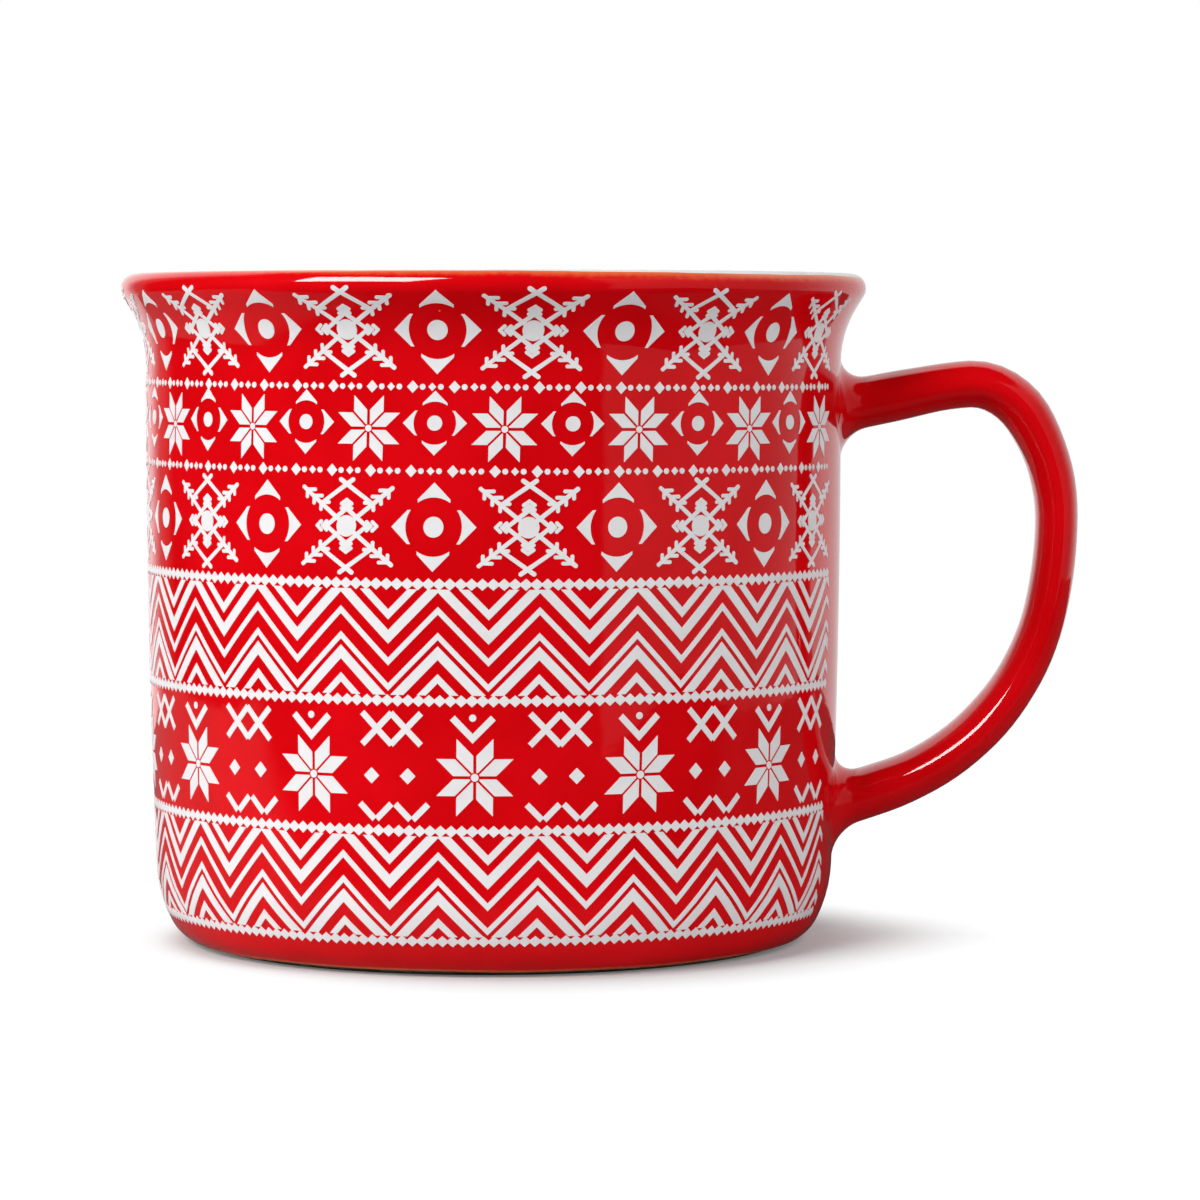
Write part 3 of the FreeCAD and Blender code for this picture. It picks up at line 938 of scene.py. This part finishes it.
@dataclass
class Motifs:
    """The print's flat outlines, in millimetres across and up."""

    broad: float = 0.6
    fine: float = 0.5

    def snowflake(self) -> Stencil:
        """Crossed feathered arms over a lattice, with a dot in the middle."""
        made = Stencil()
        made.disc((0, 0), 1.38)
        for side in (1, -1):
            made.stroke((-6.2, -4.9 * side), (6.2, 4.9 * side), self.broad)
        made.four_ways((2.8, 0), (0, 2.25), self.broad)
        made.four_ways((3.4, 3.0), (-0.85, 5.95), self.broad)
        for joint in ((5.73, 4.6), (4.71, 3.8), (3.69, 3.0)):
            made.four_ways(joint, (joint[0] - 1.17, joint[1]), self.fine)
            made.four_ways(joint, (joint[0], joint[1] - 0.92), self.fine)
        for apex in (3.35, 2.75):
            made.four_ways((0, apex), (0.7, apex - 0.5), self.fine)
        for apex in (4.18, 3.4):
            made.four_ways((apex, 0), (apex - 0.58, 0.55), self.fine)
        return made

    def roundel(self, scale: float = 1.0) -> Stencil:
        """A dot ringed by four hollow-backed arrowheads."""
        made = Stencil()
        tip, reach, back = 5.5 * scale, 2.1 * scale, 3.0 * scale
        for quarter in range(4):
            made.patch([(0, tip), (-reach, tip - reach), (-reach, back), (reach, back),
                        (reach, tip - reach)], turn=90 * quarter)
        made.disc((0, 0), 3.65 * scale, Role.CLEAR, 48)
        made.disc((0, 0), 1.29 * scale)
        return made

    def dot(self, radius: float) -> Stencil:
        """One round dot."""
        made = Stencil()
        made.disc((0, 0), radius)
        return made

    def star(self, scale: float = 1.0) -> Stencil:
        """Eight slanted petals with thin gaps between them round a clear heart."""
        made = Stencil()
        gap = 0.20
        petal = [(gap, 2 * gap), (gap, 2.35 * scale), (2.0 * scale, 4.2 * scale),
                 (2.0 * scale, 2.0 * scale + gap)]
        for quarter in range(4):
            made.patch(petal, 0.09, 90 * quarter)
            made.patch([(y, x) for x, y in petal], 0.09, 90 * quarter)
        made.disc((0, 0), 0.58 * scale, Role.CLEAR)
        made.disc((0, 0), 0.43 * scale, sides=16)
        return made

    def dotted_line(self) -> Stencil:
        """One repeat: a diamond, a dot, a lesser diamond and a dot."""
        made = Stencil()
        made.patch(self.diamond(0.75, 0.8), 0.06)
        made.patch(self.diamond(0.51, 0.53, 2.52), 0.05)
        for across in (1.28, 3.62):
            made.disc((across, 0), 0.375, sides=16)
        return made

    @staticmethod
    def diamond(half_wide: float, half_high: float, across: float = 0.0) -> list[Point]:
        """The corners of a square set on its corner."""
        return [(across + half_wide, 0), (across, half_high), (across - half_wide, 0),
                (across, -half_high)]

    def chevron(self) -> Stencil:
        """A wide V with square ends and a sharp foot."""
        made = Stencil()
        for side in (1, -1):
            made.stroke((0, -1.3), (2.63 * side, 1.36), 0.87, rounded=False)
        made.patch([(0, -1.92), (0.32, -1.6), (0, -1.0), (-0.32, -1.6)])
        return made

    def double_cross(self) -> Stencil:
        """Two crosses side by side, whose arms meet in a diamond."""
        made = Stencil()
        for centre in (1.95, -1.95):
            for slope in (1, -1):
                made.stroke((centre - 2.0, -2.05 * slope), (centre + 2.0, 2.05 * slope), 0.8,
                            rounded=False)
        return made

    def two_diamonds(self) -> Stencil:
        """A pair of plain diamonds."""
        made = Stencil()
        for across in (2.45, -2.45):
            made.patch(self.diamond(1.05, 1.05, across), 0.06)
        return made

    def wave(self) -> Stencil:
        """A broad W of four square-ended strokes."""
        made = Stencil()
        for index, across in enumerate((-3.6, -1.3, 1.25, 3.6)):
            slope = 1 if index % 2 else -1
            made.stroke((across - 1, -slope), (across + 1, slope), 0.8, rounded=False)
        return made


@dataclass
class Row:
    """One row of the print, made of one kind of motif.

    Args:
        name: the piece's name.
        node: the CAD node that it stands for.
        outline: draws one repeat.
        height: where the row's middle line runs, measured along the wall.
        first: where one of its motifs stands, in degrees.
        pitch: degrees from one motif to the next.
        half_width: half the room that a motif takes, in degrees.
        stretch: how much taller than drawn the motifs are.
        steps: how far apart the sheet is cut across and up, so that it bends with the wall.
    """

    name: str
    node: str
    outline: Callable[[], Stencil]
    height: float
    first: float = 0.0
    pitch: float = 0.0
    half_width: float = 0.0
    stretch: float = 1.0
    steps: Point = (1.65, 3.0)


@dataclass
class Transfer:
    """The white print, wrapped round the wall from beside the handle to beside it again."""

    start: float = -251.2
    end: float = 71.5
    wall_radius: float = 47.3
    datum: float = 58.2             # height on the wall that the rows are measured from
    lift: float = 0.06              # height of the enamel over the glaze
    bite: float = 0.03
    high_lean: float = 0.028        # how far the motifs lean over, above and below the datum
    low_lean: float = 0.010
    skew: float = 0.0060            # how fast the rows sink towards the handle
    level_row: float = -32.0
    motifs: Motifs = field(default_factory=Motifs)

    def __post_init__(self) -> None:
        """Finds the datum on the outline."""
        self.datum_along = OUTSIDE.along_at_height(self.datum)

    def wrap(self, flat: Vector, height: float, theta: float) -> Vector:
        """Lays one point of a flat sheet on the wall.

        Args:
            flat: its place on the sheet, with the thickness as z.
            height: the row's middle line, measured along the wall from the datum.
            theta: the motif's place round the mug, in radians.

        Returns:
            The point on the mug.
        """
        lean = self.high_lean if height > -1 else self.low_lean
        theta += (flat.x + lean * flat.y) / self.wall_radius
        sink = self.skew * (height - self.level_row) * math.sin(theta)
        station = OUTSIDE.at(self.datum_along - height - flat.y + sink)
        radius, up = station.beside(flat.z)
        return Vector((radius * math.sin(theta), -radius * math.cos(theta), up))

    def places(self, row: Row) -> list[float]:
        """Every angle where a whole motif fits on the transfer, in degrees."""
        if not row.pitch:
            return [0.0]
        low = math.ceil((self.start + row.half_width - row.first) / row.pitch)
        high = math.floor((self.end - row.half_width - row.first) / row.pitch)
        return [row.first + row.pitch * index for index in range(low, high + 1)]

    def sheet(self, row: Row) -> bpy.types.Mesh:
        """One repeat as a flat sheet with the enamel's thickness, cut finely enough to bend."""
        bm = row.outline().cut_out()
        bmesh.ops.scale(bm, vec=(1, row.stretch, 1), verts=bm.verts)
        for axis, step in enumerate(row.steps):
            normal = Vector((1, 0, 0)) if axis == 0 else Vector((0, 1, 0))
            values = [vert.co[axis] for vert in bm.verts]
            for index in range(math.ceil(min(values) / step), math.floor(max(values) / step) + 1):
                bmesh.ops.bisect_plane(bm, geom=bm.verts[:] + bm.edges[:] + bm.faces[:],
                                       dist=1e-4, plane_co=normal * (index * step),
                                       plane_no=normal)
        bmesh.ops.recalc_face_normals(bm, faces=bm.faces)
        bmesh.ops.solidify(bm, geom=bm.faces[:], thickness=self.lift)
        for vert in bm.verts:
            vert.co.z = self.lift if abs(vert.co.z) > self.lift / 2 else -self.bite
        bmesh.ops.recalc_face_normals(bm, faces=bm.faces)
        return to_mesh(bm, row.name)

    def make_row(self, row: Row) -> None:
        """Prints one row round the mug."""
        sheet = self.sheet(row)
        bm = bmesh.new()
        for place in self.places(row):
            done = len(bm.verts)
            bm.from_mesh(sheet)
            bm.verts.ensure_lookup_table()
            for vert in bm.verts[done:]:
                vert.co = self.wrap(vert.co, row.height, math.radians(place))
        bpy.data.meshes.remove(sheet)
        bmesh.ops.recalc_face_normals(bm, faces=bm.faces)
        add_piece(bm, row.name, ENAMEL, row.node)

    def arc(self, angle: float) -> float:
        """How far across the sheet an angle in degrees lies."""
        return math.radians(angle) * self.wall_radius

    def chain(self) -> Stencil:
        """A run of small touching diamonds from end to end of the transfer."""
        made = Stencil()
        first, pitch, tip, neck = 7.4, 1.678, 0.77, 0.18
        low = math.ceil((self.start - first) / pitch)
        high = math.floor((self.end - first) / pitch)
        upper = []
        for index in range(low, high + 1):
            upper.append((self.arc(first + pitch * index), neck))
            if index < high:
                upper.append((self.arc(first + pitch * (index + 0.5)), tip))
        made.patch([(x, -y) for x, y in upper] + upper[::-1])
        return made

    def zigzag(self, first: float, ceiling: float, floor: float) -> Stencil:
        """Nested zigzags from end to end of the transfer, cut level at top and bottom.

        Args:
            first: the angle of one trough, in degrees.
            ceiling: where they are cut at the top.
            floor: where they are cut at the bottom.

        Returns:
            The stencil.
        """
        made = Stencil()
        pitch, rise = 15.8, 6.6
        low = math.floor((self.start - first) / pitch)
        high = math.ceil((self.end - first) / pitch)
        for top, thick in ((4.05, 1.3), (1.4, 1.75), (-2.15, 1.0), (-5.45, 0.95),
                           (-7.2, 1.75), (-10.75, 1.2)):
            line = []
            for index in range(low, high + 1):
                line.append((self.arc(first + pitch * index), top))
                if index < high:
                    line.append((self.arc(first + pitch * (index + 0.5)), top + rise))
            made.patch([(x, y - thick) for x, y in line] + line[::-1])
        left, right = self.arc(self.start), self.arc(self.end)
        made.patch([(left, floor), (right, floor), (right, ceiling), (left, ceiling)],
                   role=Role.FRAME)
        return made

    def rows(self) -> list[Row]:
        """Every row, from the lip down."""
        art = self.motifs
        flare = (1.65, 1.0)
        made = [
            Row("snowflakes_by_lip", "print_upper_snowflakes", art.snowflake, 25.2,
                5.95, 28.82, 7.8, steps=flare),
            Row("roundels_by_lip", "print_upper_roundels", art.roundel, 25.2,
                -8.55, 28.82, 6.6, 1.037, flare),
            Row("dotted_line_upper", "print_upper_dots", art.dotted_line, 17.9,
                0.45, 6.511, 4.0),
            Row("stars", "print_stars", art.star, 12.57, 1.62, 21.37, 5.0),
            Row("small_roundels", "print_small_roundels", lambda: art.roundel(0.75), 13.3,
                -9.16, 21.37, 5.0),
            Row("dotted_line_lower", "print_lower_dots", art.dotted_line, 7.2,
                0.14, 6.511, 4.0),
            Row("snowflakes", "print_snowflakes", art.snowflake, 0.08, 5.3, 28.82, 7.8),
            Row("roundels", "print_roundels", art.roundel, 0.08, -9.4, 28.82, 6.6, 1.037),
            Row("zigzag_upper", "print_zigzag_upper",
                lambda: self.zigzag(14.9, 6.65, -6.9), -14.5),
            Row("zigzag_lower", "print_zigzag_lower",
                lambda: self.zigzag(14.7, 6.45, -6.7), -45.95),
            Row("big_stars", "print_big_stars", lambda: art.star(1.19), -31.9,
                -3.11, 26.69, 6.0),
            Row("chevrons", "print_chevrons", art.chevron, -25.6, -3.4, 26.69, 3.6),
            Row("chevron_dots", "print_chevron_dots", lambda: art.dot(0.46), -24.25,
                -3.4, 26.69, 3.6),
            Row("double_crosses", "print_double_crosses", art.double_cross, -25.75,
                10.35, 26.69, 5.2),
            Row("diamond_pairs", "print_diamonds", art.two_diamonds, -31.8,
                10.0, 26.69, 4.3),
            Row("waves", "print_waves", art.wave, -36.4, 10.6, 26.69, 5.9),
        ]
        for index, height in enumerate((-7.2, -22.1, -38.85, -53.3)):
            made.append(Row(f"chain_{index + 1}", f"print_chain_{index + 1}", self.chain,
                            height, steps=(1.65, 0.75)))
        return made

    def make(self) -> None:
        """Prints every row."""
        for row in self.rows():
            self.make_row(row)


# The studio ---------------------------------------------------------------------------------
@dataclass
class SoftBox:
    """A flat lamp that faces the mug.

    Args:
        name: the lamp's name.
        azimuth: where it stands, in degrees from the camera's side towards the handle.
        elevation: how high it stands, in degrees.
        distance: how far from the mug's middle, in metres.
        size: its width and height, in metres.
        strength: how brightly it lights a white card at the mug that faces it.
        gleams: whether it only shows in the glaze, rather than only lighting the mug.
    """

    name: str
    azimuth: float
    elevation: float
    distance: float
    size: Point
    strength: float
    gleams: bool = False

    def make(self, target: Vector) -> None:
        """Adds the lamp, turned to face this point."""
        turn, rise = math.radians(self.azimuth), math.radians(self.elevation)
        away = Vector((math.sin(turn) * math.cos(rise), -math.cos(turn) * math.cos(rise),
                       math.sin(rise)))
        lamp = bpy.data.lights.new(self.name, "AREA")
        lamp.shape = "RECTANGLE"
        lamp.size, lamp.size_y = self.size
        lamp.energy = self.strength * math.pi ** 2 * self.distance ** 2
        made = add_object(self.name, lamp)
        made.location = target + away * self.distance
        made.rotation_euler = away.to_track_quat("Z", "Y").to_euler()
        made.visible_glossy = self.gleams
        made.visible_diffuse = not self.gleams
        made.visible_camera = False


@dataclass(frozen=True)
class PaleFloor(Finish):
    """A smooth pale table top that is blown out to white except in a painted shadow by the foot,
    where the lamp-lit table shows through.
    """

    pale: Colour = (0.62, 0.62, 0.62, 1)
    shade: Colour = (0.59, 0.59, 0.595, 1)
    # Painted shadow by the foot: its reach follows ambient occlusion, and it is made fainter
    # towards -X by place.
    shadow: float = 30.0        # how far from the mug the shadow reaches, in millimetres
    shadow_ramp: Point = (0.42, 0.90)   # open sky where it is deepest and where it ends
    shadow_side: Point = (10.0, -50.0)  # millimetres across over which it grows fainter
    shadow_fade: float = 0.20
    shadow_least: float = 0.12  # how much of the light for the eye is left in it
    # Painted reflection: these set how much of the table shows in the glaze, by place; the rest is
    # painted black for glossy rays.
    near: float = 0.30          # how much of the table shows in the glaze on the lamps' side
    far: float = 0.12           # and on the handle's side
    near_far: Point = (-60.0, 50.0)     # millimetres across between those two
    ahead: Point = (-90.0, -55.0)       # millimetres before the mug where it stops showing

    def dress(self, graph: Graph, where: bpy.types.NodeSocket) -> None:
        """Layers two pale greys over a very fine grain, under white light for the eye alone that
        gives way to a painted shadow by the foot; in the glaze the table is painted darker by
        place as a painted reflection.
        """
        colour = graph.blend(graph.noise(where, 60.0), self.pale, self.shade)
        relief = graph.signal("ShaderNodeBump", 0, None, {
            "Height": graph.noise(where, 0.6), "Distance": 0.004 * MM})
        rays = graph.node("ShaderNodeLightPath")
        seen = Signal(graph, rays.outputs["Is Camera Ray"])
        mirrored = Signal(graph, rays.outputs["Is Glossy Ray"])
        parts = graph.node("ShaderNodeSeparateXYZ", None, {"Vector": where})
        east, north = (Signal(graph, parts.outputs[index]) * (1 / MM) for index in range(2))
        # Painted shadow: near the mug, the white glow for the eye gives way to the lamp-lit table,
        # so the real shade shows there; its reach and its fading towards -X are painted.
        open_sky = graph.signal("ShaderNodeAmbientOcclusion", "AO", {"samples": 16}, {
            "Distance": self.shadow * MM})
        clear = (open_sky + east.step(*self.shadow_side) * self.shadow_fade).step(
            *self.shadow_ramp) * (1 - self.shadow_least) + self.shadow_least
        # Painted reflection: for glossy rays the table is mixed with black, more on the handle's
        # side and wholly in front of the mug.
        shown = east.step(*self.near_far[::-1]) * (self.near - self.far) + self.far
        shown = shown * north.step(*self.ahead)
        top = graph.node("ShaderNodeBsdfDiffuse", None, {"Color": colour, "Normal": relief})
        light = graph.node("ShaderNodeEmission", None, {"Strength": 1.05})
        dark = graph.node("ShaderNodeBsdfDiffuse", None, {"Color": (0, 0, 0, 1)})
        lit = graph.node("ShaderNodeMixShader", None, {
            0: seen * clear, 1: top.outputs[0], 2: light.outputs[0]})
        mixed = graph.node("ShaderNodeMixShader", None, {
            0: mirrored * (1 - shown), 1: lit.outputs[0], 2: dark.outputs[0]})
        graph.node("ShaderNodeOutputMaterial", None, {"Surface": mixed.outputs[0]})


@dataclass
class Studio:
    """Floor, lamps, surroundings and camera."""

    floor_front: float = -220.0     # the table top's edges, in millimetres
    floor_back: float = 300.0
    floor_side: float = 350.0
    floor_thick: float = 20.0
    eye: tuple[float, float, float] = (0.0, -0.6432, 0.08315)
    pitch: float = 3.275
    yaw: float = -1.292
    lens: float = 140.7
    card: tuple[float, float, float] = (35.5, 92.0, 140.0)  # degrees round the mug: its near
                                    # edge, where it starts to brighten and where it is full
    card_glow: Point = (0.24, 0.76)
    backdrop: tuple[float, float, float] = (130.0, 142.0, 158.0)    # where it starts to glow,
                                    # where it is dim and where it is full
    backdrop_glow: Point = (0.18, 1.05)
    backdrop_lean: float = 20.0     # how many degrees nearer to the front its top comes
    ceiling: Point = (0.82, 0.72)   # sines of the heights where both end and are whole
    front_glow: float = 0.005
    boxes: list[SoftBox] = field(default_factory=lambda: [
        SoftBox("gleam_lamp", -46, 42, 1.1, (0.70, 0.54), 1.9, True),
        SoftBox("key_lamp", -44, 38, 1.1, (0.58, 0.36), 0.73),
        SoftBox("side_lamp", -88, 22, 1.2, (0.6, 0.6), 0.42),
        SoftBox("fill_lamp", 40, 36, 1.3, (0.7, 0.7), 0.43),
    ])

    def make_floor(self) -> None:
        """The table top that the mug stands on."""
        bm = bmesh.new()
        bmesh.ops.create_grid(bm, x_segments=1, y_segments=1, size=1)
        bmesh.ops.scale(bm, vec=(self.floor_side, (self.floor_back - self.floor_front) / 2, 1),
                        verts=bm.verts)
        bmesh.ops.translate(bm, vec=(0, (self.floor_back + self.floor_front) / 2, 0),
                            verts=bm.verts)
        bmesh.ops.solidify(bm, geom=bm.faces[:], thickness=self.floor_thick)
        bmesh.ops.translate(bm, verts=bm.verts,
                            vec=(0, 0, -max(vert.co.z for vert in bm.verts)))
        bmesh.ops.recalc_face_normals(bm, faces=bm.faces)
        bmesh.ops.bevel(bm, geom=bm.edges[:], offset=3.0, segments=3, profile=0.5,
                        affect="EDGES", material=-1)
        bmesh.ops.scale(bm, vec=(MM, MM, MM), verts=bm.verts)
        mesh = to_mesh(bm, "table_top")
        mesh.materials.append(PaleFloor("pale_table").material())
        floor = add_object("table_top", mesh)
        floor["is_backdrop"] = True

    def make_surroundings(self) -> None:
        """A white room that shows in the glaze as a dark front between two pale sides."""
        world = bpy.data.worlds.new("studio_room")
        bpy.context.scene.world = world
        graph = Graph(world)
        way = graph.node("ShaderNodeTexCoord").outputs["Generated"]
        parts = graph.node("ShaderNodeSeparateXYZ", None, {"Vector": way})
        east, north, up = (Signal(graph, parts.outputs[index]) for index in range(3))
        turn = graph.signal("ShaderNodeMath", 0, {"operation": "ARCTAN2"}, {
            0: east, 1: north * -1.0}) * (180 / math.pi)
        edge, rise, full = self.card
        dim, bright = self.card_glow
        card = turn.step(rise, full) * (bright - dim) + dim + up.step(0.45, 0.80) * 0.14
        card = card * turn.step(edge - 1, edge + 1)
        aside = turn * -1.0 + up.step(0.1, 0.8) * self.backdrop_lean
        start, middle, full = self.backdrop
        dim, bright = self.backdrop_glow
        backdrop = aside.step(start, middle) * dim + aside.step(middle, full) * (bright - dim)
        glow = (card + backdrop) * up.step(*self.ceiling) + self.front_glow
        seen = graph.signal("ShaderNodeLightPath", "Is Camera Ray")
        strength = seen + (1 - seen) * glow
        back = graph.node("ShaderNodeBackground", None, {
            "Color": (1, 1, 1, 1), "Strength": strength})
        graph.node("ShaderNodeOutputWorld", None, {"Surface": back.outputs[0]})

    def make_camera(self) -> None:
        """The camera, a little above the mug's middle and nearly level."""
        data = bpy.data.cameras.new("camera")
        data.lens = self.lens
        data.sensor_width = 36.0
        data.clip_start, data.clip_end = 0.01, 20.0
        camera = add_object("camera", data)
        camera.location = self.eye
        camera.rotation_euler = (math.radians(90 - self.pitch), 0, math.radians(self.yaw))
        bpy.context.scene.camera = camera

    def make(self, middle: Vector) -> None:
        """Sets the whole studio up round the mug's middle."""
        self.make_floor()
        self.make_surroundings()
        for box in self.boxes:
            box.make(middle)
        self.make_camera()
        bpy.context.scene.view_settings.view_transform = "Standard"


def corners(box: tuple[Vector, Vector]) -> list[list[float]]:
    """A box as plain lists of numbers."""
    return [[float(value) for value in corner] for corner in box]


def main() -> None:
    """Builds the mug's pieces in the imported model's place, then the studio round the mug."""
    logging.basicConfig(level=logging.INFO, format="%(name)s: %(message)s")
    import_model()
    cad_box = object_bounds()
    cup = Cup()
    cup.make_clay()
    cup.make_wall_glaze()
    cup.make_liner()
    cup.make_base_glaze()
    handle = Handle()
    handle.make_core()
    handle.make_slips()
    handle.make_glaze()
    Transfer().make()
    Studio().make((cad_box[0] + cad_box[1]) / 2)
    {"cad": corners(cad_box), "visual": corners(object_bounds())}
    LOG.info("finished")


if __name__ == "__main__":
    main()
